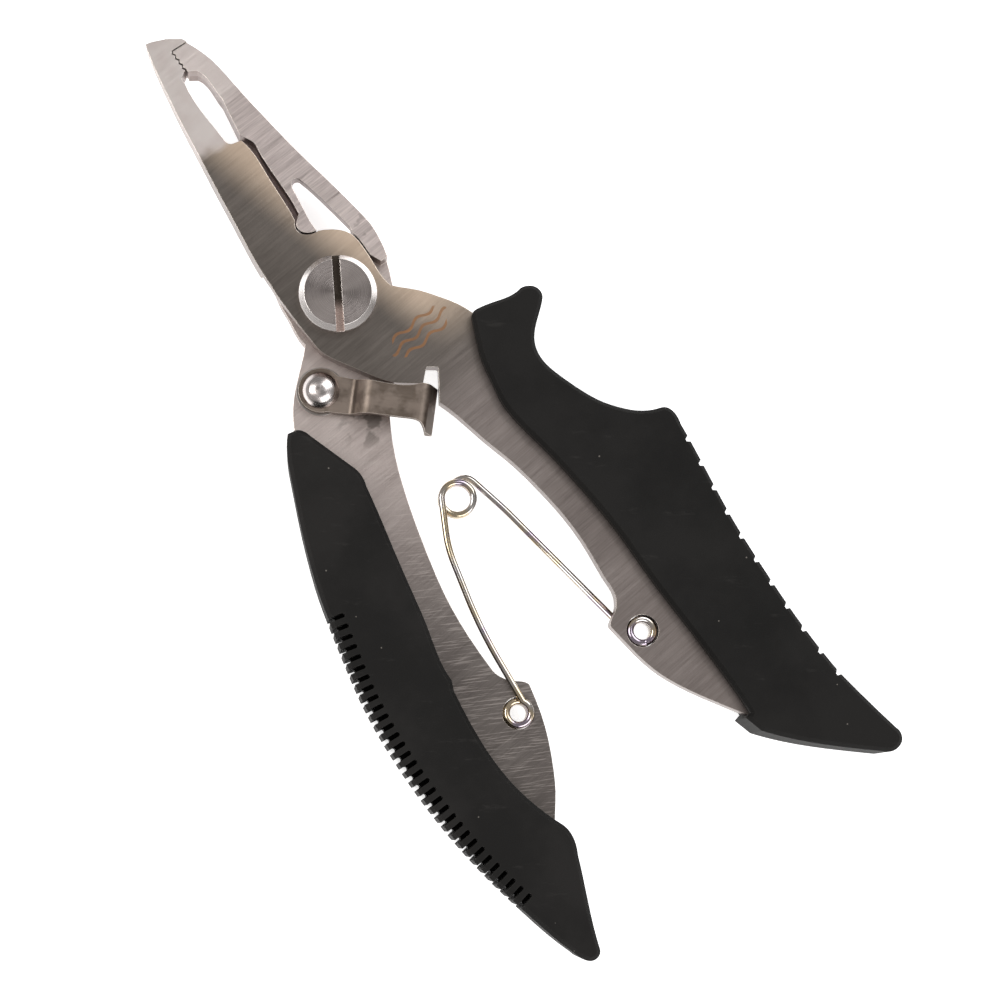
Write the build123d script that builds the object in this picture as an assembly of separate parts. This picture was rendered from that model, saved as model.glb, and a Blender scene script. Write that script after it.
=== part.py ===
from build123d import *
import os
from math import atan2, degrees

# Fishing pliers: two stamped plates lapped at a pivot screw, rubber grips moulded on both handles,
# a wire opening spring between the handles and a swinging latch that hooks the front plate.
# The origin is on the pivot axis in the plane the pliers rest on. +Y points to the nose, +X to the
# front plate's handle and +Z up through the pivot screw's head. Millimetres throughout.

MID = 4.5                # height of the lap joint between the two plates
PLATE = 2.5              # thickness of each plate
LAP_GAP = 0.02           # each plate's lap face stands this far from the lap joint
TOP = MID + PLATE        # upper face of the front plate
BOTTOM = MID - PLATE     # lower face of the rear plate
FRONT_LAP = MID + LAP_GAP
REAR_LAP = MID - LAP_GAP
GRIP_HEIGHT = 9.0        # the grips reach from the rest plane to this height
GRIP_EDGE = 0.5          # bevel round the grips' faces
NOSE_LENGTH = 41.1       # pivot to nose tip
NOSE_THINNING = 1.0      # each face of the jaws falls by this much at the nose
WIDE = 60.0              # size of cutting tools that only have to clear the part

BARREL_R = 3.0           # sleeve of the pivot nut, on which the front plate turns
RUNNING = 0.05           # radial clearance of the turning fits
HEAD_R = 4.95            # pivot screw head and nut flange
HEAD_FACE_R = 4.28
HEAD_HEIGHT = 2.0
THREAD_R = 1.95
SHANK_END = BOTTOM - 0.2    # how far down the screw reaches into the nut
NUT_RIM = 0.5               # bevel of the nut's flange
PIVOT_WASHER_R = 4.6
DRIVER_SLOT = (1.0, 1.0)   # width and depth
DRIVER_SLOT_ANGLE = 59.0
WASHER = 0.4

RIVET_AT = (-8.61, -8.65)
RIVET_R = 1.0
RIVET_DOME_R = 2.4
RIVET_DOME_HEIGHT = 1.5
RIVET_TAIL_R = 1.9
RIVET_TAIL_HEIGHT = 0.9
RIVET_WASHER_R = 2.5
LATCH = 0.85             # strip thickness of the latch
LATCH_EYE_R = 2.85
LATCH_WASHER = (3.1, 0.3)   # radius and thickness
LATCH_ANGLE = -42.5      # direction of the latch arm from its rivet
LATCH_EYE_Z = REAR_LAP + LATCH_WASHER[1] + 0.04 + LATCH / 2
LATCH_ARM_Z = TOP + 0.1 + LATCH / 2
LATCH_HOOK_Z = 4.75      # how far down the hooked end reaches
LATCH_WIDTH = 16.0       # strip before its outline is cut

WIRE_R = 0.44            # opening spring
COIL_AT = (-2.22, -29.83)
COIL_R = 2.05
EYE_R = 1.53             # mean radius of the spring's end coils
SPRING_HOLE_R = 2.05
FRONT_EYE_AT = (7.06, -57.0)
REAR_EYE_AT = (-11.5, -56.44)
TURN = 2 * WIRE_R - 0.04    # rise of one turn, so that neighbouring turns fuse
FRONT_WIRE_Z = REAR_LAP - WIRE_R - 0.07
REAR_WIRE_Z = REAR_LAP + WIRE_R + 0.1

TOOTH_PITCH = 0.7        # fine teeth of the nose
TOOTH_DEPTH = 0.25
NOTCHES = 11             # barbed notches of the front grip
NOTCH_DEPTH = 0.55
NOTCH_SPAN = (0.06, 0.995)  # where along the back's curve the first and last notch are
RIBS = 32                # slots of the rear grip's comb
RIB_SLOT = 0.6
RIB_DEPTH = 0.75         # the slots' depth over the grip's full height
RIB_POCKET = (2.1, 3.0)     # their depth and height at each face
RIB_SPAN = (0.318, 0.88)    # where along the outer curve the first and last slot are


def joined(*runs):
    """Closed face from runs of points. Two points make a straight run and more make a smooth one.
    Each run starts where the one before it ended, and the last run ends where the first begins."""
    edges = []
    last = runs[-1][-1]
    for run in runs:
        points = [last, *run]
        edges.append(Line(*points) if len(points) == 2 else Spline(*points))
        last = run[-1]
    return make_face(edges)


def straight(*points):
    """Runs that join points with straight lines."""
    return [[p] for p in points]


def slab(face, low, high):
    """A flat face made solid between two heights."""
    return extrude(Pos(0, 0, low) * face, high - low)


def disc(radius, low, high, at=(0, 0)):
    return Pos(at[0], at[1], low) * extrude(Circle(radius), high - low)


def wedge(start, side):
    """Tool that thins the jaws from start to the nose, on the upper (1) or lower (-1) face."""
    face = MID + side * PLATE
    past = NOSE_LENGTH + 2
    fall = NOSE_THINNING * (past - start) / (NOSE_LENGTH - start)
    profile = Plane.YZ * Polygon(
        (start, face), (past, face - side * fall), (past, face + side), (start, face + side), align=None
    )
    return extrude(profile, WIDE / 2, both=True)


# ---- nose teeth -------------------------------------------------------------------------------

NOSE_LEDGE_Y = 38.5
JAW_FACE_X = 0.78
TEETH_LOW_Y = 35.35
JAW_GAP = 0.2
WINDOW_RIM = 1.2            # thickness of the jaw round the triangular window
WINDOW_RELIEF = (0.45, 0.6)   # how far the window is opened out behind its rim


def teeth(x, low, high):
    """Zigzag from (x, high) down to (x, low), cut to the left of x."""
    count = round((high - low) / TOOTH_PITCH)
    step = (high - low) / count
    points = []
    for i in range(count):
        points.append((x - TOOTH_DEPTH, high - (i + 0.5) * step))
        points.append((x, high - (i + 1) * step))
    return points


# ---- plates -----------------------------------------------------------------------------------

def front_plate():
    """Left jaw and right handle, the upper plate at the lap joint."""
    nose = straight((-1.5, 41.1), (-0.7, 40.95), (1.15, 40.2), (2.8, 39.1), (3.1, NOSE_LEDGE_Y))
    bite = straight((JAW_FACE_X, NOSE_LEDGE_Y), *teeth(JAW_FACE_X, TEETH_LOW_Y, NOSE_LEDGE_Y),
                    (-0.25, 34.75), (-0.3, 33.7))
    window = [[(-0.5, 32.5), (-0.62, 29.5), (-0.4, 24.6)], [(-0.15, 24.0), (0.3, 23.75)], [(1.35, 23.55)]]
    blade = [[(1.53, 22.8), (1.45, 17.25), (1.13, 11.7), (1.02, 11.0)]]
    boss = [[(0.55, 10.2), (0.6, 9.4), (1.1, 8.8), (2.77, 8.3)],
            [(4.4, 7.4), (5.9, 5.75), (6.25, 3.5), (6.2, 1.5), (6.05, -1.2), (6.3, -2.7)],
            [(7.5, -3.9), (8.95, -5.3), (10.2, -6.9), (11.3, -8.4), (12.85, -11.4)]]
    tang = [[(14.0, -14.5), (14.3, -18.5), (14.6, -24.0), (17.3, -32.0), (20.0, -40.0), (20.9, -50.0),
             (20.6, -60.0), (20.0, -69.0)], [(16.5, -75.5)], [(13.0, -74.4)]]
    inner = [[(11.9, -73.3), (10.15, -70.7), (8.55, -68.2), (7.0, -65.5), (5.8, -62.9), (4.95, -60.0),
              (4.55, -57.7), (4.05, -54.3)],
             [(4.2, -53.95), (5.35, -53.2), (6.3, -52.3), (6.8, -51.4), (7.05, -49.0), (7.3, -46.0),
              (7.5, -42.5), (7.25, -37.8), (6.65, -33.6), (5.85, -29.7), (4.75, -25.9), (3.65, -21.3),
              (2.75, -18.6)]]
    slot = [[(5.08, -15.05)], [(5.15, -14.8), (5.0, -14.62)], [(4.15, -14.02)], [(3.95, -13.98), (3.78, -14.12)],
            [(2.4, -15.45)]]
    lower = [[(0.9, -14.35), (-1.0, -12.8), (-2.8, -10.2), (-4.4, -7.7), (-5.45, -5.9), (-5.95, -4.6),
              (-6.1, -2.8), (-6.25, -0.7), (-6.3, 1.5), (-6.35, 3.6), (-6.25, 6.0)]]
    left = [[(-6.05, 10.2), (-5.45, 15.0), (-4.85, 20.1), (-4.15, 25.5), (-3.6, 30.0), (-3.05, 33.5),
             (-2.35, 37.5), (-1.75, 40.2)]]
    outline = joined(*nose, *bite, *window, *blade, *boss, *tang, *inner, *slot, *lower, *left)
    body = slab(outline, BOTTOM, TOP)
    # the lower half is cut away round the pivot, along the handle and where the rear blade passes
    relief = joined([(-12, 8.2)], [(-6.1, 8.2)], [(-3.6, 8.9), (-1.0, 9.45)], [(-0.6, 11.0)],
                    [(-0.85, 17.2)], [(-0.9, 23.6)], [(-0.3, 24.3)], [(10, 24.3)], [(WIDE, 0)], [(WIDE, -100)], [(-12, -100)])
    body -= slab(relief, BOTTOM - 1, FRONT_LAP)
    body -= wedge(24.5, 1) + wedge(24.5, -1)
    body -= disc(BARREL_R + RUNNING, 0, TOP + 1)
    body -= disc(SPRING_HOLE_R, 0, TOP + 1, FRONT_EYE_AT)
    return body


def rear_plate():
    """Right jaw and left handle, the lower plate at the lap joint."""
    bite_x = JAW_FACE_X + JAW_GAP
    ledge_y = NOSE_LEDGE_Y - JAW_GAP
    bite = straight((bite_x - 0.08, ledge_y), *teeth(bite_x, TEETH_LOW_Y, NOSE_LEDGE_Y),
                    (0.9, 34.95), (1.9, 34.35))
    window = [[(2.25, 33.6), (2.42, 31.5), (2.44, 29.5)], [(1.62, 24.3)]]
    blade = [[(1.2, 23.35)], [(0.0, 22.9)], [(0.08, 17.3), (0.45, 11.2)]]
    boss = [[(0.75, 10.3), (0.5, 9.3), (-0.4, 8.8), (-3.0, 8.2), (-4.8, 7.0), (-6.1, 5.0)],
            [(-6.4, 3.6), (-6.6, 1.3), (-6.85, -0.5), (-6.75, -2.5)]]
    tang = [[(-8.55, -4.3), (-10.85, -6.35), (-13.0, -8.8), (-14.1, -10.7), (-15.2, -13.6),
             (-16.4, -17.5), (-18.4, -24.0), (-20.2, -31.0), (-22.0, -39.0), (-23.6, -48.0),
             (-24.1, -57.0), (-23.7, -66.0), (-22.4, -73.5)], [(-21.0, -76.5)], [(-17.5, -73.8)]]
    inner = [[(-15.6, -70.1), (-13.35, -67.1), (-12.2, -65.15), (-10.65, -62.0), (-9.5, -59.05),
              (-8.6, -55.7), (-8.3, -54.3)],
             [(-8.6, -53.7), (-9.9, -52.6), (-10.6, -51.7), (-11.1, -50.3)],
             [(-11.15, -47.7), (-11.05, -43.7), (-10.5, -38.7), (-9.65, -34.5), (-8.35, -29.3),
              (-7.1, -25.1), (-5.9, -21.7), (-4.65, -18.9), (-3.15, -16.2)]]
    outer = [[(-1.2, -13.9), (2.0, -10.9), (4.4, -7.7), (6.2, -4.0), (7.25, -1.65), (8.0, 0.25),
              (8.6, 2.8), (8.8, 5.3)]]
    back = [[(8.25, 9.15), (7.3, 14.2), (6.35, 19.2), (5.55, 24.5), (5.05, 28.1), (4.75, 31.1),
             (4.4, 34.1), (3.75, 36.5), (3.0, ledge_y)]]
    body = slab(joined(*bite, *window, *blade, *boss, *tang, *inner, *outer, *back), BOTTOM, TOP)
    # the upper half is cut away where the front plate's blade and boss pass, and along the handle
    relief = joined([(1.62, 24.3)], [(2.05, 23.4), (2.45, 22.6), (2.45, 21.5)],
                    [(2.24, 17.2), (2.2, 14.1), (1.95, 11.5)], [(1.35, 11.0)],
                    [(0.8, 10.2), (0.85, 9.55), (1.25, 9.02), (2.85, 8.52)],
                    [(4.52, 7.6), (6.1, 5.88), (6.46, 3.5), (6.45, 2.0)], [(7.1, 0.6)], [(12, 0.6)],
                    [(12, -100)], [(-WIDE, -100)], [(-WIDE, 24.3)])
    body -= slab(relief, REAR_LAP, TOP + 1)
    triangle = joined([(2.94, 12.6), (3.19, 14.7)], [(3.5, 15.35), (3.95, 15.62), (4.4, 15.5), (4.66, 15.1)],
                      [(5.51, 11.6), (6.1, 8.2), (6.4, 6.5)], [(6.2, 5.35)], [(4.6, 6.8), (2.6, 7.8)],
                      [(2.58, 9.95)])
    body -= slab(triangle, 0, TOP + 1)
    body -= slab(Pos(*WINDOW_RELIEF) * triangle, 0, TOP - WINDOW_RIM)
    body -= wedge(29.0, 1) + wedge(29.0, -1)
    body -= disc(BARREL_R, 0, TOP + 1)
    body -= disc(RIVET_R, 0, TOP + 1, RIVET_AT)
    body -= disc(SPRING_HOLE_R, 0, TOP + 1, REAR_EYE_AT)
    return body


# ---- pivot ------------------------------------------------------------------------------------

def pivot_screw():
    """Cheese head with a bevelled rim and a straight slot, on a shank that threads into the nut."""
    top = TOP + LAP_GAP + HEAD_HEIGHT
    rim = HEAD_R - HEAD_FACE_R
    section = Polygon(
        (0, SHANK_END), (THREAD_R, SHANK_END), (THREAD_R, TOP + LAP_GAP), (HEAD_R, TOP + LAP_GAP),
        (HEAD_R, top - rim), (HEAD_FACE_R, top), (0, top), align=None
    )
    body = revolve(Plane.XZ * section, Axis.Z)
    width, depth = DRIVER_SLOT
    body -= Pos(0, 0, top) * Rot(0, 0, DRIVER_SLOT_ANGLE) * Box(3 * HEAD_R, width, 2 * depth)
    return body


def pivot_nut():
    """Flange behind the rear plate with the sleeve that both plates sit on."""
    flange = BOTTOM - WASHER
    section = Polygon(
        (0, 0), (HEAD_R - NUT_RIM, 0), (HEAD_R, NUT_RIM), (HEAD_R, flange), (BARREL_R, flange),
        (BARREL_R, TOP + LAP_GAP), (THREAD_R, TOP + LAP_GAP), (THREAD_R, SHANK_END), (0, SHANK_END),
        align=None
    )
    return revolve(Plane.XZ * section, Axis.Z)


def pivot_washer():
    """Thin washer between the nut's flange and the rear plate."""
    return disc(PIVOT_WASHER_R, BOTTOM - WASHER, BOTTOM) - disc(BARREL_R, 0, TOP)


# ---- latch ------------------------------------------------------------------------------------

def in_latch_frame(shape):
    """Place a shape drawn with the rivet at the origin and the arm along +X."""
    return Pos(*RIVET_AT) * Rot(0, 0, LATCH_ANGLE) * shape


def latch_lever():
    """Folded strip: an eye flat on its washer, an arm stepped up over the front plate and a hook."""
    bend = FilletPolyline(
        (-5, 0, LATCH_EYE_Z), (4.3, 0, LATCH_EYE_Z), (6.0, 0, LATCH_ARM_Z), (11.6, 0, LATCH_ARM_Z - 0.02),
        (13.2, 0, LATCH_ARM_Z + 0.1), (14.35, 0, LATCH_HOOK_Z - 0.1), radius=[1.2, 1.2, 3.0, 0.75]
    )
    across = Plane(bend @ 0, x_dir=(0, 1, 0), z_dir=bend % 0) * Rectangle(LATCH_WIDTH, LATCH)
    strip = sweep(across, path=bend)
    waist = joined([(4.0, 2.0), (8.0, 1.7), (11.0, 1.85), (12.6, 2.35)], [(15.0, 2.3)], [(15.1, 0.2)],
                   [(14.7, -3.8)], [(13.75, -3.8)], [(12.7, -2.5), (11.0, -2.35), (6.0, -2.45), (0.0, -2.6)],
                   [(-1.0, 0.0), (0.0, 2.0)])
    shape = slab(waist, 0, GRIP_HEIGHT + 1) + disc(LATCH_EYE_R, 0, GRIP_HEIGHT + 1)
    shape -= disc(RIVET_R + RUNNING, 0, GRIP_HEIGHT + 1)
    return in_latch_frame(strip & shape)


def latch_washer():
    """Spacer under the latch's eye."""
    radius, thickness = LATCH_WASHER
    ring = disc(radius, REAR_LAP, REAR_LAP + thickness, RIVET_AT)
    return ring - disc(RIVET_R, 0, TOP, RIVET_AT)


def rivet_dome(radius, height):
    """Spherical cap standing on z = 0."""
    ball = (radius ** 2 + height ** 2) / (2 * height)
    return Pos(0, 0, height - ball) * Sphere(ball) & disc(radius, 0, height)


def latch_rivet():
    """Domed rivet through the latch and the rear plate, with its tail clenched over a washer."""
    seat = LATCH_EYE_Z + LATCH / 2 + 0.02
    tail = BOTTOM - WASHER
    body = Pos(0, 0, seat) * rivet_dome(RIVET_DOME_R, RIVET_DOME_HEIGHT)
    body += disc(RIVET_R, tail, seat)
    body += Pos(0, 0, tail) * Rot(180, 0, 0) * rivet_dome(RIVET_TAIL_R, RIVET_TAIL_HEIGHT)
    return Pos(*RIVET_AT) * body


def rivet_washer():
    """Washer that the rivet's tail is clenched over."""
    ring = disc(RIVET_WASHER_R, BOTTOM - WASHER, BOTTOM, RIVET_AT)
    return ring - disc(RIVET_R, 0, TOP, RIVET_AT)


# ---- opening spring ---------------------------------------------------------------------------

def turns(at, radius, heights):
    """Closed turns of wire stacked at the given heights, as one ring."""
    section = Sketch() + [Pos(radius, z) * Circle(WIRE_R) for z in heights]
    return Pos(*at) * revolve(Plane.XZ * section, Axis.Z)


def wire(points, radii, z):
    """Round wire at height z along straight runs joined by arcs."""
    path = FilletPolyline(*[(x, y, z) for x, y in points], radius=radii)
    return sweep(Plane(path @ 0, z_dir=path % 0) * Circle(WIRE_R), path=path)


def spring_front_arm():
    """Half of the spring: its lower coil turn, the arm under the front plate and that arm's end coil."""
    start = (COIL_AT[0], COIL_AT[1] + COIL_R)
    end = (FRONT_EYE_AT[0] - 0.8 * EYE_R, FRONT_EYE_AT[1] + 0.6 * EYE_R)
    body = wire([start, (0.6, -27.75), (2.1, -34.3), end], [1.6, 40.0], FRONT_WIRE_Z)
    body += turns(COIL_AT, COIL_R, [FRONT_WIRE_Z])
    body += turns(FRONT_EYE_AT, EYE_R, [FRONT_WIRE_Z + i * TURN for i in range(4)])
    return body


def spring_rear_arm():
    """The other half: its upper coil turn, the arm over the rear plate and that arm's end coil."""
    start = (COIL_AT[0] - 0.88 * COIL_R, COIL_AT[1] + 0.475 * COIL_R)
    end = (REAR_EYE_AT[0] + 0.8 * EYE_R, REAR_EYE_AT[1] + 0.6 * EYE_R)
    body = wire([start, (-6.9, -34.4), (-9.4, -45.0), end], [16.0, 60.0], REAR_WIRE_Z)
    body += turns(COIL_AT, COIL_R, [REAR_WIRE_Z])
    body += turns(REAR_EYE_AT, EYE_R, [REAR_WIRE_Z - i * TURN for i in range(4)])
    return body


# ---- grips ------------------------------------------------------------------------------------

def moulded(face, tang):
    """Grip of the full height with bevelled faces, moulded round its handle."""
    body = slab(face, 0, GRIP_HEIGHT)
    rims = body.faces().sort_by(Axis.Z)
    body = chamfer(rims[0].edges() + rims[-1].edges(), GRIP_EDGE)
    return body - tang


def front_grip(tang):
    """Right grip: horn, finger rest, second hump, a row of barbed notches and a pointed butt."""
    horn = [[(12.7, -11.7), (13.9, -11.7), (15.3, -12.0), (19.5, -12.55)],
            [(20.6, -12.9), (21.25, -13.6), (21.4, -14.5), (21.0, -15.3)],
            [(19.9, -16.3), (18.0, -17.9), (16.9, -19.4), (16.45, -21.6), (17.1, -24.6), (18.2, -27.6),
             (19.6, -30.4), (20.95, -32.2), (22.3, -33.6), (23.9, -34.7), (25.3, -35.25)],
            [(26.1, -35.85), (26.4, -36.8), (26.2, -38.4)]]
    back = [[(25.4, -45.0), (24.5, -52.0), (24.05, -59.0), (23.85, -66.0), (24.25, -75.7)]]
    butt = [[(24.6, -77.8), (26.05, -85.3)], [(26.1, -86.3), (25.7, -87.0), (24.9, -87.4), (24.0, -87.4),
             (23.3, -87.05)], [(17.7, -82.1), (13.4, -77.7), (11.8, -75.75)], [(11.1, -73.3)], [(12.0, -73.1)]]
    inner = [[(12.1, -70.2), (12.05, -65.0), (11.85, -59.0), (11.6, -52.0), (11.6, -45.0), (11.0, -37.5),
              (10.1, -31.0), (9.2, -25.8), (9.1, -23.2), (9.5, -20.7), (10.1, -17.5), (11.0, -15.0),
              (12.2, -12.2)]]
    body = moulded(joined(*horn, *back, *butt, *inner), tang)
    edge = Spline((26.2, -38.4), *back[0])
    first, last = NOTCH_SPAN
    for i in range(NOTCHES):
        at = first + (last - first) * i / (NOTCHES - 1)
        along = degrees(atan2((edge % at).Y, (edge % at).X))
        notch = Polygon((-0.5, 0.5), (-0.5, 0), (-0.2, -NOTCH_DEPTH), (0.15, -NOTCH_DEPTH), (0.35, 0),
                        (0.35, 0.5), align=None)
        place = Pos((edge @ at).X, (edge @ at).Y, -1) * Rot(0, 0, along)
        body -= extrude(place * notch, GRIP_HEIGHT + 2)
    return body


def rib_slot(depth, low, high):
    """Round-ended slot that runs inwards along +Y, between two heights."""
    reach = depth - RIB_SLOT / 2
    outline = Rectangle(RIB_SLOT, 2 * reach) + Pos(0, reach) * Circle(RIB_SLOT / 2)
    return slab(outline, low, high)


def rear_grip(tang):
    """Left grip: a comb of slots along its outer edge and a pointed butt."""
    comb = [[(-27.65, -51.5), (-27.75, -56.5), (-27.6, -61.5), (-27.1, -67.0), (-26.2, -72.8), (-25.3, -77.0),
             (-24.4, -80.8), (-23.2, -84.6)]]
    outer = [[(-16.8, -13.0), (-18.4, -16.3), (-20.4, -20.9), (-22.4, -26.0), (-23.7, -29.9), (-24.75, -34.0),
              (-25.8, -38.6), (-26.7, -42.9), (-27.3, -47.0), *comb[0]]]
    butt = [[(-22.7, -85.8), (-22.0, -86.4), (-21.2, -86.45), (-20.4, -85.7)],
            [(-18.95, -81.8), (-17.65, -78.8), (-16.0, -74.9)],
            [(-15.3, -73.2), (-15.15, -71.9), (-15.5, -70.5)]]
    inner = [[(-16.5, -67.8), (-17.25, -64.9), (-17.75, -61.3), (-17.8, -57.5), (-17.4, -52.8), (-16.95, -49.6)],
             [(-16.4, -48.3)],
             [(-16.35, -46.9), (-15.0, -40.9), (-14.3, -37.6), (-13.0, -31.1), (-12.1, -27.0), (-11.2, -22.4)],
             [(-10.9, -21.0), (-11.05, -19.7)], [(-13.3, -13.1)],
             [(-13.7, -12.1), (-14.2, -11.6), (-14.9, -11.4), (-15.5, -11.3)]]
    body = moulded(joined(*outer, *butt, *inner), tang)
    edge = Spline((-15.5, -11.3), *outer[0])
    first, last = RIB_SPAN
    for i in range(RIBS):
        at = first + (last - first) * i / (RIBS - 1)
        along = degrees(atan2((edge % at).Y, (edge % at).X))
        place = Pos((edge @ at).X, (edge @ at).Y) * Rot(0, 0, along)
        depth, height = RIB_POCKET
        body -= place * rib_slot(RIB_DEPTH, -1, GRIP_HEIGHT + 1)
        body -= place * rib_slot(depth, -1, height)
        body -= place * rib_slot(depth, GRIP_HEIGHT - height, GRIP_HEIGHT + 1)
    return body


front = front_plate()
rear = rear_plate()
nodes = {
    "front_plate": front,
    "rear_plate": rear,
    "pivot_screw": pivot_screw(),
    "pivot_nut": pivot_nut(),
    "pivot_washer": pivot_washer(),
    "latch_lever": latch_lever(),
    "latch_washer": latch_washer(),
    "latch_rivet": latch_rivet(),
    "rivet_washer": rivet_washer(),
    "spring_front_arm": spring_front_arm(),
    "spring_rear_arm": spring_rear_arm(),
    "front_grip": front_grip(front),
    "rear_grip": rear_grip(rear),
}

os.makedirs("parts", exist_ok=True)
for name, shape in nodes.items():
    export_step(shape, f"parts/{name}.step")
    print(name, round(shape.volume, 2), len(shape.solids()))
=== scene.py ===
from math import acos, ceil, cos, pi, radians, sin, tan

import bpy
from mathutils import Matrix, Vector


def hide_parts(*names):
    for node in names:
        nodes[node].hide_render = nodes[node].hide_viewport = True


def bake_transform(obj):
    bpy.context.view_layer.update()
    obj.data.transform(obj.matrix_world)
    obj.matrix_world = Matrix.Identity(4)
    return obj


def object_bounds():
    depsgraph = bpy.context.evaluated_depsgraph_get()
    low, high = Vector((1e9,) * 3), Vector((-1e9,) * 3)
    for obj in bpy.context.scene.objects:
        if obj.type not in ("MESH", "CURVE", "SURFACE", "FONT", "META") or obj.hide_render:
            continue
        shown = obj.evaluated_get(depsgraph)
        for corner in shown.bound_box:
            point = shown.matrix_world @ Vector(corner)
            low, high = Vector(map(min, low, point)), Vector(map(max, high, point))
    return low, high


# Fishing pliers. Everything is in metres in the CAD's frame: the origin is on the pivot axis in the
# plane the pliers rest on, +Y points to the nose and +Z out of the pivot screw's head.

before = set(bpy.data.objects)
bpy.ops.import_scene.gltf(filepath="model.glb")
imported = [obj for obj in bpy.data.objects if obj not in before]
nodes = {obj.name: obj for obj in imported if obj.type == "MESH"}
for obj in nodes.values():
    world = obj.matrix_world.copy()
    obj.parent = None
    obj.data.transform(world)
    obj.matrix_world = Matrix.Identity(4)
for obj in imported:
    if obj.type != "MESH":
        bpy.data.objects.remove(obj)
cad_box = [list(corner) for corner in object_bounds()]

MM = 0.001
PIVOT_AT = (0.0, 0.0)             # centres in the plan, in metres
RIVET_AT = (-8.61 * MM, -8.65 * MM)
HEAD_FACE_R = 4.2 * MM            # the pivot screw's flat face ends here and its bevel begins
DRIVER_SLOT_TURN = radians(59)    # direction of the pivot screw's slot
DRIVER_SLOT_HALF = 0.56 * MM      # just over half its width
DRIVER_SLOT_FLOOR = 7.9 * MM      # just under its floor, and just under its rim
DRIVER_SLOT_TOP = 8.9 * MM
LATCH_TURN = radians(42.5)        # turns the latch's arm onto X
MARK_AT = (5.9 * MM, -9.7 * MM, 0.0)
MARK_TURN = radians(-6)
MARK_WAVE = 3.4 * MM
MARK_SWING = 0.30 * MM
MARK_HALF_ROW = 0.65 * MM
MARK_ABOVE = 6.9 * MM             # just under the front plate's upper face
JAW_PATCHES_AT = (7.8 * MM, 5.5 * MM, 7.0 * MM)
HANDLE_STAIN_AT = (-6.0 * MM, -15.0 * MM, 4.5 * MM)


# ---- camera, floor and light ----------------------------------------------------------------------

CAMERA_AT = Vector((-0.04177, -0.05288, 0.30700))
CAMERA_TARGET = Vector((0.001835, -0.033185, 0.007))
CAMERA_UP = Vector((0.56363, 0.81485, 0.13542))
LENS = 86.617


def add_camera():
    data = bpy.data.cameras.new("camera")
    data.sensor_width = 36.0
    data.lens = LENS
    data.clip_start = 0.01
    data.clip_end = 20.0
    back = (CAMERA_AT - CAMERA_TARGET).normalized()
    right = CAMERA_UP.cross(back).normalized()
    up = back.cross(right)
    camera = bpy.data.objects.new("camera", data)
    turn = Matrix((right, up, back)).transposed().to_4x4()
    camera.matrix_world = Matrix.Translation(CAMERA_AT) @ turn
    bpy.context.scene.collection.objects.link(camera)
    bpy.context.scene.camera = camera


def add_area(name, at, target, size, power, colour):
    data = bpy.data.lights.new(name, "AREA")
    data.shape = "RECTANGLE"
    data.size, data.size_y = size
    data.energy = power
    data.color = colour
    light = bpy.data.objects.new(name, data)
    light.location = at
    light.rotation_euler = (Vector(target) - Vector(at)).to_track_quat("-Z", "Y").to_euler()
    bpy.context.scene.collection.objects.link(light)


def add_world(colour, strength):
    world = bpy.data.worlds.new("studio")
    world.use_nodes = True
    background = world.node_tree.nodes["Background"]
    background.inputs["Color"].default_value = (*colour, 1)
    background.inputs["Strength"].default_value = strength
    bpy.context.scene.world = world


# ---- node helpers ---------------------------------------------------------------------------------

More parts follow.
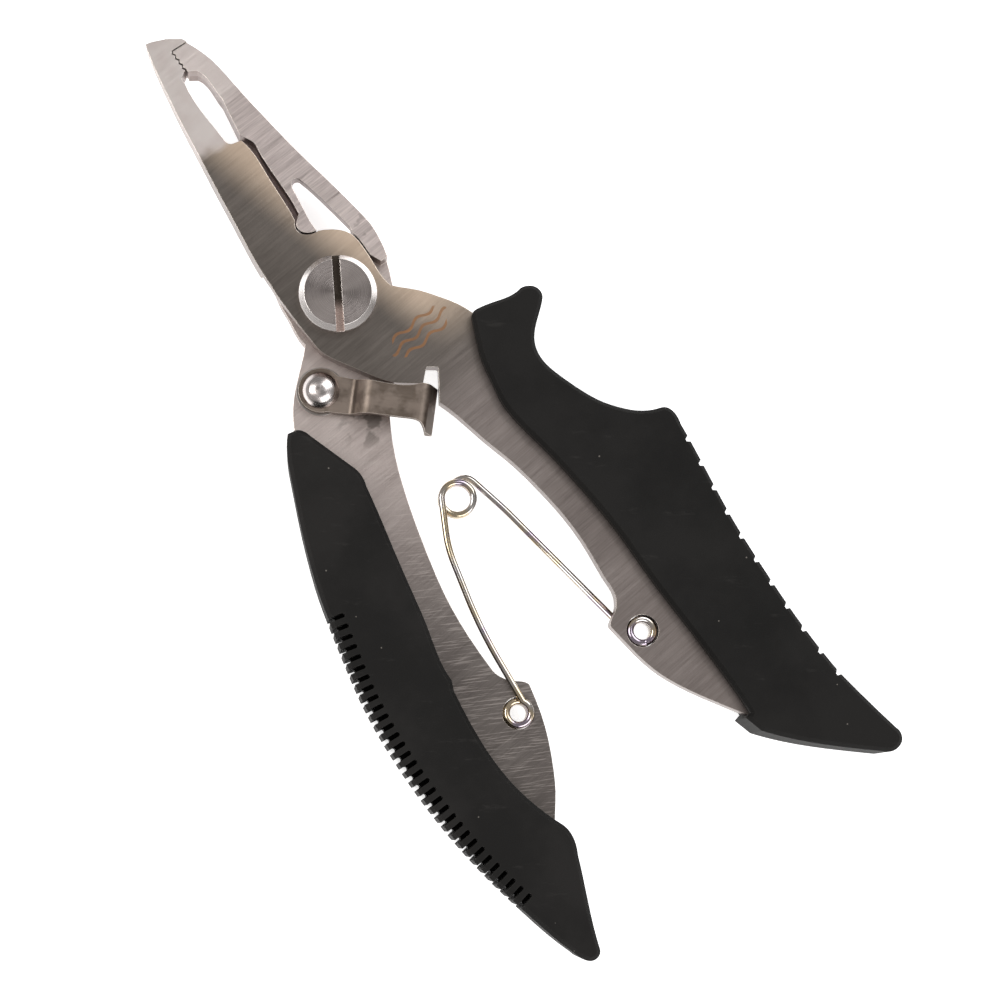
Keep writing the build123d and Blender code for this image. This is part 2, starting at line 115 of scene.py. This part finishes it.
class Shader:
    """A node material built up with short calls. Values are numbers, tuples or other sockets."""

    def __init__(self, name):
        self.material = bpy.data.materials.new(name)
        self.material.use_nodes = True
        self.tree = self.material.node_tree
        self.surface = self.tree.nodes["Principled BSDF"]
        self.coordinates = self.node("ShaderNodeTexCoord").outputs["Object"]

    def node(self, kind, **settings):
        made = self.tree.nodes.new(kind)
        for name, value in settings.items():
            setattr(made, name, value)
        return made

    def put(self, socket, value):
        if isinstance(value, bpy.types.NodeSocket):
            self.tree.links.new(value, socket)
        elif isinstance(value, tuple) and len(value) == 3 and socket.type == "RGBA":
            socket.default_value = (*value, 1)
        else:
            socket.default_value = value

    def math(self, operation, *values):
        made = self.node("ShaderNodeMath", operation=operation)
        for socket, value in zip(made.inputs, values):
            self.put(socket, value)
        return made.outputs[0]

    def vector(self, operation, *values):
        made = self.node("ShaderNodeVectorMath", operation=operation)
        for socket, value in zip(made.inputs, values):
            self.put(socket, value)
        return made.outputs["Value" if operation in ("LENGTH", "DOT_PRODUCT") else "Vector"]

    def span(self, value, low, high):
        """0 below low, 1 above high and a smooth rise between them."""
        made = self.node("ShaderNodeMapRange", interpolation_type="SMOOTHSTEP")
        for name, given in (("Value", value), ("From Min", low), ("From Max", high)):
            self.put(made.inputs[name], given)
        return made.outputs["Result"]

    def scaled(self, low, high, value):
        """A 0 to 1 value as a number from low to high."""
        made = self.node("ShaderNodeMapRange")
        for name, given in (("Value", value), ("To Min", low), ("To Max", high)):
            self.put(made.inputs[name], given)
        return made.outputs["Result"]

    def axis(self, name, coordinates=None):
        made = self.node("ShaderNodeSeparateXYZ")
        self.put(made.inputs[0], coordinates or self.coordinates)
        return made.outputs[name]

    def mapped(self, scale, turn=0.0, at=(0.0, 0.0, 0.0)):
        """Object coordinates about a point, turned about Z and then scaled."""
        moved = self.vector("SUBTRACT", self.coordinates, tuple(at))
        turned = self.node("ShaderNodeVectorRotate", rotation_type="Z_AXIS")
        self.put(turned.inputs["Vector"], moved)
        self.put(turned.inputs["Angle"], turn)
        return self.vector("MULTIPLY", turned.outputs[0], tuple(scale))

    def noise(self, vector, scale=1.0, detail=2.0, roughness=0.5):
        made = self.node("ShaderNodeTexNoise")
        for name, value in (("Vector", vector), ("Scale", scale), ("Detail", detail),
                            ("Roughness", roughness)):
            self.put(made.inputs[name], value)
        return made.outputs["Fac"]

    def specks(self, scale, size):
        """1 in small spots scattered at that many cells a metre."""
        made = self.node("ShaderNodeTexVoronoi")
        self.put(made.inputs["Vector"], self.coordinates)
        self.put(made.inputs["Scale"], scale)
        near = self.math("LESS_THAN", made.outputs["Distance"], size)
        chosen = self.axis("X", made.outputs["Color"])
        return self.math("MULTIPLY", near, self.math("GREATER_THAN", chosen, 0.72))

    def mix(self, factor, low, high):
        made = self.node("ShaderNodeMix", data_type="RGBA")
        self.put(made.inputs["Factor"], factor)
        self.put(made.inputs[6], low)
        self.put(made.inputs[7], high)
        return made.outputs[2]

    def bump(self, height, strength, distance, normal=None):
        made = self.node("ShaderNodeBump")
        self.put(made.inputs["Height"], height)
        self.put(made.inputs["Strength"], strength)
        self.put(made.inputs["Distance"], distance)
        if normal is not None:
            self.put(made.inputs["Normal"], normal)
        return made.outputs["Normal"]

    def facing_up(self):
        """How much the surface faces up, from -1 to 1."""
        return self.axis("Z", self.node("ShaderNodeNewGeometry").outputs["Normal"])

    def rounded(self, radius):
        """The normal as if edges were rounded to that radius."""
        made = self.node("ShaderNodeBevel", samples=6)
        self.put(made.inputs["Radius"], radius)
        return made.outputs["Normal"]

    def edges(self, width):
        """1 along sharp edges and 0 elsewhere."""
        true = self.node("ShaderNodeNewGeometry").outputs["Normal"]
        return self.span(self.vector("DOT_PRODUCT", self.rounded(width), true), 0.99, 0.88)

    def set(self, **values):
        """Sockets of the surface, with spaces in their names written as underscores."""
        for name, value in values.items():
            self.put(self.surface.inputs[name.replace("_", " ")], value)
        return self.material


def give(material, *names):
    for name in names:
        mesh = nodes[name].data
        mesh.materials.clear()
        mesh.materials.append(material)


# ---- materials ------------------------------------------------------------------------------------

def brushed(name, dark, light, grain_scale, grain_turn, grain_strength, rough):
    """Satin steel with fine straight grain, with its colour, grain and tone kept for further mixing."""
    s = Shader(name)
    fine = s.noise(s.mapped(grain_scale, grain_turn), detail=4.0, roughness=0.7)
    coarse = s.noise(s.mapped(tuple(v * 0.35 for v in grain_scale), grain_turn), detail=1.0)
    cloud = s.noise(s.coordinates, 110.0, 2.0)
    lines = s.math("ADD", s.math("MULTIPLY", fine, 0.75), s.math("MULTIPLY", coarse, 0.25))
    s.grain = s.span(lines, 0.2, 0.8)
    clouds = s.math("MULTIPLY", s.span(cloud, 0.3, 0.7), 0.45)
    s.tone = s.math("ADD", s.math("MULTIPLY", s.grain, 0.55), clouds)
    s.colour = s.mix(s.tone, dark, light)
    s.set(Metallic=1.0, Roughness=s.scaled(rough[0], rough[1], s.grain),
          Normal=s.bump(s.grain, grain_strength, 0.02 * MM, s.rounded(0.10 * MM)))
    return s


def wall_shade_edge_sheen(s, colour):
    """The same steel with painted shade darkening its walls and a painted highlight along its sharp
    edges.
    """
    # painted shade: walls that face sideways are painted darker
    wall = s.math("SUBTRACT", 1.0, s.span(s.math("ABSOLUTE", s.facing_up()), 0.25, 0.75))
    colour = s.mix(s.math("MULTIPLY", wall, 0.85), colour, (0.19, 0.148, 0.134))
    # painted highlight: the sharp edges are painted bright
    return s.mix(s.math("MULTIPLY", s.edges(0.13 * MM), 0.75), colour, (0.8, 0.726, 0.647))


def front_steel():
    """Dark satin plate with a painted highlight that makes it paler and warmer along its right side, and
    a bright nose, paler from grinding and from a painted highlight.
    """
    s = brushed("front_steel", (0.155, 0.136, 0.121), (0.25, 0.22, 0.198), (220.0, 6000.0, 900.0),
                radians(-6), 0.16, (0.28, 0.38))
    x = s.axis("X")
    y = s.axis("Y")
    # painted highlight: the boss and jaw are painted from dark on their left to warmer and paler on their
    # right
    slope = s.math("ADD", s.math("MULTIPLY", x, 0.95), s.math("MULTIPLY", y, 0.27))
    right_sheen = s.math("MULTIPLY", s.span(slope, 1.3 * MM, 7.0 * MM), s.span(y, -15 * MM, -5 * MM))
    right_sheen_colour = s.mix(s.grain, (0.86, 0.67, 0.51), (0.98, 0.78, 0.61))
    colour = s.mix(s.math("MULTIPLY", right_sheen, 0.85), s.colour, right_sheen_colour)
    handle = s.math("MULTIPLY", s.span(y, -12 * MM, -22 * MM), 0.85)
    colour = s.mix(handle, colour, s.mix(s.tone, (0.215, 0.18, 0.168), (0.42, 0.365, 0.345)))
    # painted highlight: the nose is painted much paler, partly from grinding and partly as a painted
    # highlight
    ragged = s.math("ADD", y, s.math("MULTIPLY", s.noise(s.coordinates, 300.0), 2.0 * MM))
    nose = s.span(ragged, 24.6 * MM, 26.4 * MM)
    ground_and_sheen = s.mix(s.span(s.noise(s.coordinates, 260.0, 3.0), 0.35, 0.65),
                   (0.93, 0.831, 0.795), (1, 0.917, 0.879))
    colour = s.mix(nose, colour, ground_and_sheen)
    colour = s.mix(wave_mark(s), colour, (0.46, 0.224, 0.102))
    return s.set(Base_Color=wall_shade_edge_sheen(s, colour))


def wave_mark(s):
    """Laser mark: three short wavy lines, as 1 on the lines and 0 off them."""
    local = s.mapped((1.0, 1.0, 1.0), MARK_TURN, MARK_AT)
    along = s.axis("X", local)
    across = s.axis("Y", local)
    wave = s.math("MULTIPLY", s.math("SINE", s.math("MULTIPLY", along, 2 * pi / MARK_WAVE)), MARK_SWING)
    height = s.math("SUBTRACT", across, wave)
    line = s.math("ABSOLUTE", s.math("WRAP", height, MARK_HALF_ROW, -MARK_HALF_ROW))
    on_line = s.math("SUBTRACT", 1.0, s.span(line, 0.14 * MM, 0.24 * MM))
    reach = s.math("ADD", s.math("ABSOLUTE", along), s.math("ABSOLUTE", s.math("MULTIPLY", height, 0.9)))
    inside = s.math("SUBTRACT", 1.0, s.span(reach, 4.6 * MM, 4.8 * MM))
    rows = s.math("LESS_THAN", s.math("ABSOLUTE", height), 3 * MARK_HALF_ROW)
    above = s.math("GREATER_THAN", s.axis("Z"), MARK_ABOVE)
    mark = s.math("MULTIPLY", s.math("MULTIPLY", on_line, inside), s.math("MULTIPLY", rows, above))
    return s.math("MULTIPLY", mark, s.scaled(0.55, 0.95, s.grain))


def near(s, place, reach):
    """1 close to a place, falling to 0 at reach from it."""
    return s.span(s.vector("LENGTH", s.vector("SUBTRACT", s.coordinates, place)), reach, 1.5 * MM)


def rear_steel():
    """Paler plate with strong cross grain on the jaw, a scratched handle, painted shade on the low
    half-thick face at the jaw's inner side, and a bright nose, paler from grinding and from a painted
    highlight.
    """
    s = brushed("rear_steel", (0.60, 0.51, 0.48), (0.94, 0.83, 0.785), (170.0, 4600.0, 900.0),
                radians(-4), 0.6, (0.26, 0.40))
    y = s.axis("Y")
    # the handle darkens towards its end
    low = s.span(y, -14 * MM, -50 * MM)
    handle = s.mix(low, s.colour, s.mix(s.tone, (0.17, 0.148, 0.138), (0.30, 0.268, 0.25)))
    jaw = s.span(y, -1 * MM, 6 * MM)
    colour = s.mix(jaw, handle, s.mix(s.grain, (0.56, 0.482, 0.463), (0.9, 0.793, 0.758)))
    scratch = s.noise(s.mapped((260.0, 5200.0, 900.0), radians(28)), detail=3.0)
    worn = s.math("MULTIPLY", s.span(scratch, 0.52, 0.66), s.span(y, -1 * MM, -6 * MM))
    colour = s.mix(s.math("MULTIPLY", worn, 0.5), colour, (0.72, 0.64, 0.601))
    # painted highlight: the nose is painted much paler, partly from grinding and partly as a painted
    # highlight
    ragged = s.math("ADD", y, s.math("MULTIPLY", s.noise(s.coordinates, 300.0), 2.0 * MM))
    colour = s.mix(s.span(ragged, 29.5 * MM, 31.2 * MM), colour, (1, 0.898, 0.86))
    patches = s.math("MULTIPLY", s.span(s.noise(s.coordinates, 700.0, 2.0), 0.54, 0.66),
                     near(s, JAW_PATCHES_AT, 4.0 * MM))
    colour = s.mix(s.math("MULTIPLY", patches, 0.45), colour, (0.3, 0.244, 0.231))
    # painted shade: the low half-thick face at the jaw is painted darker where it lies in the gap
    lap_shade = s.math("MULTIPLY", s.span(y, 10 * MM, 11 * MM), s.math("LESS_THAN", s.axis("Z"), 4.6 * MM))
    colour = s.mix(s.math("MULTIPLY", lap_shade, 0.85), colour, (0.27, 0.205, 0.199))
    stain = s.math("MULTIPLY", s.span(s.noise(s.coordinates, 420.0, 3.0), 0.5, 0.62),
                   near(s, HANDLE_STAIN_AT, 4.5 * MM))
    colour = s.mix(s.math("MULTIPLY", stain, 0.6), colour, (0.13, 0.11, 0.093))
    return s.set(Base_Color=wall_shade_edge_sheen(s, colour))


def turned_steel(name, centre, dark, light, slot_angle=None):
    """Lathe-turned steel with concentric tool marks about a point."""
    s = Shader(name)
    local = s.mapped((1.0, 1.0, 0.0), 0.0, (*centre, 0.0))
    radius = s.vector("LENGTH", local)
    rings = s.node("ShaderNodeTexNoise", noise_dimensions="1D")
    s.put(rings.inputs["W"], s.math("MULTIPLY", radius, 8000.0))
    s.put(rings.inputs["Scale"], 1.0)
    s.put(rings.inputs["Detail"], 3.0)
    marks = rings.outputs["Fac"]
    cloud = s.noise(s.coordinates, 350.0, 2.0)
    both = s.math("ADD", s.math("MULTIPLY", marks, 0.35), s.math("MULTIPLY", cloud, 0.65))
    colour = s.mix(s.span(both, 0.3, 0.7), dark, light)
    # painted highlight: the turned face is painted paler in two opposite sectors, standing in for the
    # bow-tie sheen of turned steel
    sector = s.math("ARCTAN2", s.axis("Y", local), s.axis("X", local))
    bowtie_sheen = s.math("COSINE", s.math("MULTIPLY", s.math("SUBTRACT", sector, radians(10)), 2.0))
    flat = s.span(radius, HEAD_FACE_R + 0.15 * MM, HEAD_FACE_R)
    colour = s.mix(s.math("MULTIPLY", s.math("MULTIPLY", s.span(bowtie_sheen, -0.2, 1.0), flat), 0.45), colour,
                   (0.80, 0.72, 0.69))
    bevel = s.span(radius, HEAD_FACE_R, HEAD_FACE_R + 0.1 * MM)
    colour = s.mix(bevel, colour, (0.88, 0.83, 0.81))
    if slot_angle is not None:
        slot = s.mapped((1.0, 1.0, 1.0), -slot_angle, (*centre, 0.0))
        across = s.axis("Y", slot)
        in_slot = s.math("MULTIPLY", s.math("LESS_THAN", s.math("ABSOLUTE", across), DRIVER_SLOT_HALF),
                         s.math("LESS_THAN", s.axis("Z"), DRIVER_SLOT_TOP))
        above = s.math("GREATER_THAN", s.axis("Z"), DRIVER_SLOT_FLOOR)
        # painted shade: the driver slot is painted dark, and paler towards one end
        slot_shade = s.mix(cloud, (0.05, 0.042, 0.034), (0.11, 0.086, 0.069))
        paler_end = s.span(s.axis("X", slot), -0.5 * MM, -2.6 * MM)
        slot_shade = s.mix(paler_end, slot_shade, (0.62, 0.477, 0.426))
        colour = s.mix(s.math("MULTIPLY", in_slot, above), colour, slot_shade)
    # painted highlight: the sharp edges are painted bright
    colour = s.mix(s.math("MULTIPLY", s.edges(0.10 * MM), 0.6), colour, (0.95, 0.879, 0.833))
    return s.set(Base_Color=colour, Metallic=1.0, Roughness=s.scaled(0.20, 0.32, marks), Anisotropic=0.7,
                 Normal=s.bump(marks, 0.14, 0.01 * MM, s.rounded(0.08 * MM)))


def latch_steel():
    """Satin folded strip: faint grain along the arm, brown smudges, a painted-shade line along the bend
    and a painted highlight along its edges.
    """
    s = brushed("latch_steel", (0.115, 0.09, 0.072), (0.20, 0.162, 0.135), (700.0, 3600.0, 900.0),
                LATCH_TURN, 0.3, (0.42, 0.56))
    smudge = s.span(s.noise(s.coordinates, 420.0, 3.0), 0.45, 0.65)
    colour = s.mix(s.math("MULTIPLY", smudge, 0.35), s.colour, (0.40, 0.33, 0.285))
    # painted shade: one dark line where the arm was folded
    along = s.axis("X", s.mapped((1.0, 1.0, 1.0), LATCH_TURN, (*RIVET_AT, 0.0)))
    fold_shade = s.span(s.math("ABSOLUTE", s.math("SUBTRACT", along, 4.4 * MM)), 0.30 * MM, 0.10 * MM)
    colour = s.mix(s.math("MULTIPLY", fold_shade, 0.5), colour, (0.06, 0.05, 0.042))
    # painted highlight: the sharp edges are painted bright
    colour = s.mix(s.math("MULTIPLY", s.edges(0.13 * MM), 0.8), colour, (0.85, 0.764, 0.684))
    return s.set(Base_Color=colour)


def wire_steel():
    """Polished spring wire with faint straw and violet heat tints."""
    s = Shader("wire_steel")
    tint = s.noise(s.coordinates, 260.0, 2.0)
    draw = s.noise(s.mapped((900.0, 900.0, 4000.0)), detail=2.0)
    colour = s.mix(s.span(tint, 0.42, 0.62), (0.55, 0.52, 0.50), (0.58, 0.48, 0.34))
    colour = s.mix(s.span(s.noise(s.coordinates, 340.0, 1.0), 0.56, 0.70), colour, (0.40, 0.34, 0.41))
    return s.set(Base_Color=colour, Metallic=1.0, Roughness=s.scaled(0.10, 0.22, draw),
                 Normal=s.bump(draw, 0.2, 0.01 * MM))


def washer_steel():
    s = brushed("washer_steel", (0.38, 0.35, 0.33), (0.55, 0.51, 0.49), (900.0, 900.0, 900.0), 0.0,
                0.3, (0.25, 0.38))
    return s.set(Base_Color=s.colour)


def rubber(name, dark, light, scuff_and_sheen_colour):
    """Matt moulded rubber: fine pebble, paler scuffs, a few dust specks, a painted highlight on its side
    walls, and edges that are paler partly from wear and partly as a painted highlight.
    """
    s = Shader(name)
    cloud = s.noise(s.coordinates, 70.0, 4.0, 0.6)
    pebble = s.noise(s.coordinates, 5200.0, 2.0)
    streaks = s.noise(s.mapped((180.0, 700.0, 300.0), radians(35)), detail=4.0, roughness=0.7)
    scuff = s.span(streaks, 0.60, 0.78)
    colour = s.mix(s.span(cloud, 0.35, 0.65), dark, light)
    colour = s.mix(s.math("MULTIPLY", scuff, 0.35), colour, scuff_and_sheen_colour)
    colour = s.mix(s.math("MULTIPLY", s.specks(520.0, 0.055), 0.55), colour, (0.20, 0.18, 0.16))
    # painted highlight: side walls are painted paler
    wall = s.math("SUBTRACT", 1.0, s.span(s.math("ABSOLUTE", s.facing_up()), 0.1, 0.6))
    colour = s.mix(s.math("MULTIPLY", wall, 0.3), colour, scuff_and_sheen_colour)
    # edges painted paler, partly as wear and partly as a painted highlight
    colour = s.mix(s.math("MULTIPLY", s.edges(0.25 * MM), 0.35), colour, scuff_and_sheen_colour)
    height = s.math("ADD", pebble, s.math("MULTIPLY", scuff, 0.5))
    return s.set(Base_Color=colour, Roughness=s.scaled(0.58, 0.80, pebble), Specular_IOR_Level=0.14,
                 Normal=s.bump(height, 0.35, 0.05 * MM, s.rounded(0.30 * MM)))


def floor_paint():
    s = Shader("floor_paint")
    tone = s.noise(s.coordinates, 14.0, 3.0)
    return s.set(Base_Color=s.mix(tone, (0.90, 0.90, 0.90), (0.93, 0.93, 0.93)), Roughness=0.9,
                 Specular_IOR_Level=0.1, Emission_Color=(1.0, 1.0, 1.0), Emission_Strength=0.7)


# ---- opening spring -------------------------------------------------------------------------------

# in millimetres, and in degrees from +X
WIRE_R = 0.44
WIRE_PITCH = 0.9            # rise of one turn, just over the wire's thickness
COIL_AT = (-2.22, -29.83)
COIL_R = 2.05
COIL_TOP_Z = 5.50
EYE_R = 1.53
EYE_TURNS = 3.3
COIL_TURNS = 2 + 61.7 / 360
HELIX_STEP = 8              # degrees between points
BEND_STEP = 0.6
FRONT_EYE_AT = (7.06, -57.0)
REAR_EYE_AT = (-11.5, -56.44)
FRONT_WIRE_Z = 3.97
REAR_WIRE_Z = 5.02


def helix(centre, radius, start, end, z_start, z_end):
    """Points along a helix between two angles, in degrees."""
    count = max(2, ceil(abs(end - start) / HELIX_STEP))
    points = []
    for i in range(count + 1):
        t = i / count
        angle = radians(start + (end - start) * t)
        points.append(Vector((centre[0] + radius * cos(angle), centre[1] + radius * sin(angle),
                              z_start + (z_end - z_start) * t)))
    return points


def bent(corners, radii):
    """Points along straight runs whose inner corners are rounded to the radii."""
    corners = [Vector(c) for c in corners]
    line = [corners[0]]
    for before, corner, after, radius in zip(corners, corners[1:], corners[2:], radii):
        back = (before - corner).normalized()
        ahead = (after - corner).normalized()
        half = acos(max(-1.0, min(1.0, back.dot(ahead)))) / 2
        reach = radius / tan(half)
        centre = corner + (back + ahead).normalized() * (radius / sin(half))
        a = corner + back * reach - centre
        b = corner + ahead * reach - centre
        turn = a.angle(b)
        count = max(2, ceil(turn * radius / BEND_STEP))
        for i in range(count + 1):
            t = i / count
            line.append(centre + (a * sin((1 - t) * turn) + b * sin(t * turn)) / sin(turn))
    line.append(corners[-1])
    return line


def spring_line():
    """The wire's centre line from the rear plate's end coil to the front plate's, in millimetres."""
    coil_low = COIL_TOP_Z - WIRE_PITCH * COIL_TURNS
    rear_start = (REAR_EYE_AT[0] + 0.8 * EYE_R, REAR_EYE_AT[1] + 0.6 * EYE_R, REAR_WIRE_Z)
    rear_end = (COIL_AT[0] - 0.88 * COIL_R, COIL_AT[1] + 0.475 * COIL_R, COIL_TOP_Z)
    front_start = (COIL_AT[0], COIL_AT[1] + COIL_R, coil_low)
    front_end = (FRONT_EYE_AT[0] - 0.8 * EYE_R, FRONT_EYE_AT[1] + 0.6 * EYE_R, FRONT_WIRE_Z)
    eye_rise = WIRE_PITCH * EYE_TURNS
    line = helix(REAR_EYE_AT, EYE_R, 36.87 - 360 * EYE_TURNS, 36.87, REAR_WIRE_Z - eye_rise, REAR_WIRE_Z)
    line += bent([rear_start, (-9.4, -45.0, 5.08), (-6.9, -34.4, 5.22), rear_end], [60.0, 16.0])[1:]
    line += helix(COIL_AT, COIL_R, 151.7, 90 - 720, COIL_TOP_Z, coil_low)[1:]
    line += bent([front_start, (0.6, -27.75, 3.58), (2.1, -34.3, 3.7), front_end], [1.6, 40.0])[1:]
    line += helix(FRONT_EYE_AT, EYE_R, 143.13, 143.13 + 360 * EYE_TURNS, FRONT_WIRE_Z,
                  FRONT_WIRE_Z + eye_rise)[1:]
    return line


def tube(name, line, radius, sides=14):
    """Round wire along a line of points, with slightly rounded cut ends."""
    spaced = [line[0]]
    for point in line[1:]:
        if (point - spaced[-1]).length > 0.02:
            spaced.append(point)
    vertices = []
    faces = []
    normal = Vector((0, 0, 1))
    last = len(spaced) - 1
    for i, point in enumerate(spaced):
        along = (spaced[min(i + 1, last)] - spaced[max(i - 1, 0)]).normalized()
        normal = (normal - along * normal.dot(along)).normalized()
        side = along.cross(normal)
        for k in range(sides):
            angle = 2 * pi * k / sides
            vertices.append((point + (normal * cos(angle) + side * sin(angle)) * radius) * MM)
    for i in range(last):
        for k in range(sides):
            a, b = i * sides + k, i * sides + (k + 1) % sides
            faces.append((a, b, b + sides, a + sides))
    for ring, outward in ((0, -1), (last, 1)):
        along = (spaced[min(ring + 1, last)] - spaced[max(ring - 1, 0)]).normalized() * outward
        rim = list(range(ring * sides, (ring + 1) * sides))
        small = len(vertices)
        for k in rim:
            towards = spaced[ring] * MM
            vertices.append(towards + (vertices[k] - towards) * 0.8 + along * 0.08 * MM)
        for k in range(sides):
            j = (k + 1) % sides
            quad = (rim[k], rim[j], small + j, small + k)
            faces.append(quad if outward > 0 else quad[::-1])
        cap = tuple(range(small, small + sides))
        faces.append(cap if outward > 0 else cap[::-1])
    mesh = bpy.data.meshes.new(name)
    mesh.from_pydata(vertices, [], faces)
    mesh.validate()
    mesh.update()
    for polygon in mesh.polygons:
        polygon.use_smooth = len(polygon.vertices) == 4
    piece = bpy.data.objects.new(name, mesh)
    bpy.context.scene.collection.objects.link(piece)
    return piece


def add_spring():
    """One continuous wire in place of the CAD's two arms."""
    spring = tube("opening_spring", spring_line(), WIRE_R)
    spring.data.materials.append(wire_steel())
    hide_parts("spring_rear_arm", "spring_front_arm")
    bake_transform(spring)


# ---- scene ----------------------------------------------------------------------------------------

def add_floor():
    mesh = bpy.data.meshes.new("floor")
    reach = 1.5
    mesh.from_pydata([(-reach, -reach, 0), (reach, -reach, 0), (reach, reach, 0), (-reach, reach, 0)], [],
                     [(0, 1, 2, 3)])
    floor = bpy.data.objects.new("floor", mesh)
    floor.location.z = cad_box[0][2] - 0.02 * MM
    floor.data.materials.append(floor_paint())
    bpy.context.scene.collection.objects.link(floor)


bpy.context.scene.view_settings.view_transform = "Standard"
add_camera()
add_world((1.0, 0.98, 0.96), 0.36)
add_area("key", (-0.35, 0.30, 0.42), (0.0, -0.02, 0.0), (0.35, 0.35), 2.1, (1.0, 0.99, 0.97))
add_area("fill", (0.40, 0.05, 0.35), (0.0, -0.02, 0.0), (0.35, 0.45), 1.6, (0.98, 0.99, 1.0))
add_area("front", (-0.05, -0.48, 0.35), (0.0, -0.03, 0.0), (0.5, 0.3), 1.7, (1.0, 1.0, 1.0))
add_floor()

HEAD_DARK = (0.25, 0.22, 0.21)
HEAD_LIGHT = (0.46, 0.41, 0.395)

give(front_steel(), "front_plate")
give(rear_steel(), "rear_plate")
give(turned_steel("pivot_steel", PIVOT_AT, HEAD_DARK, HEAD_LIGHT, DRIVER_SLOT_TURN), "pivot_screw")
give(turned_steel("nut_steel", PIVOT_AT, HEAD_DARK, HEAD_LIGHT), "pivot_nut")
give(turned_steel("rivet_steel", RIVET_AT, (0.46, 0.42, 0.41), (0.66, 0.61, 0.60)), "latch_rivet")
give(latch_steel(), "latch_lever")
give(washer_steel(), "pivot_washer", "latch_washer", "rivet_washer")
give(rubber("front_rubber", (0.0060, 0.0056, 0.0052), (0.0105, 0.0098, 0.0092), (0.032, 0.030, 0.028)),
     "front_grip")
give(rubber("rear_rubber", (0.0078, 0.0073, 0.0068), (0.0135, 0.0125, 0.0118), (0.040, 0.037, 0.035)),
     "rear_grip")
add_spring()
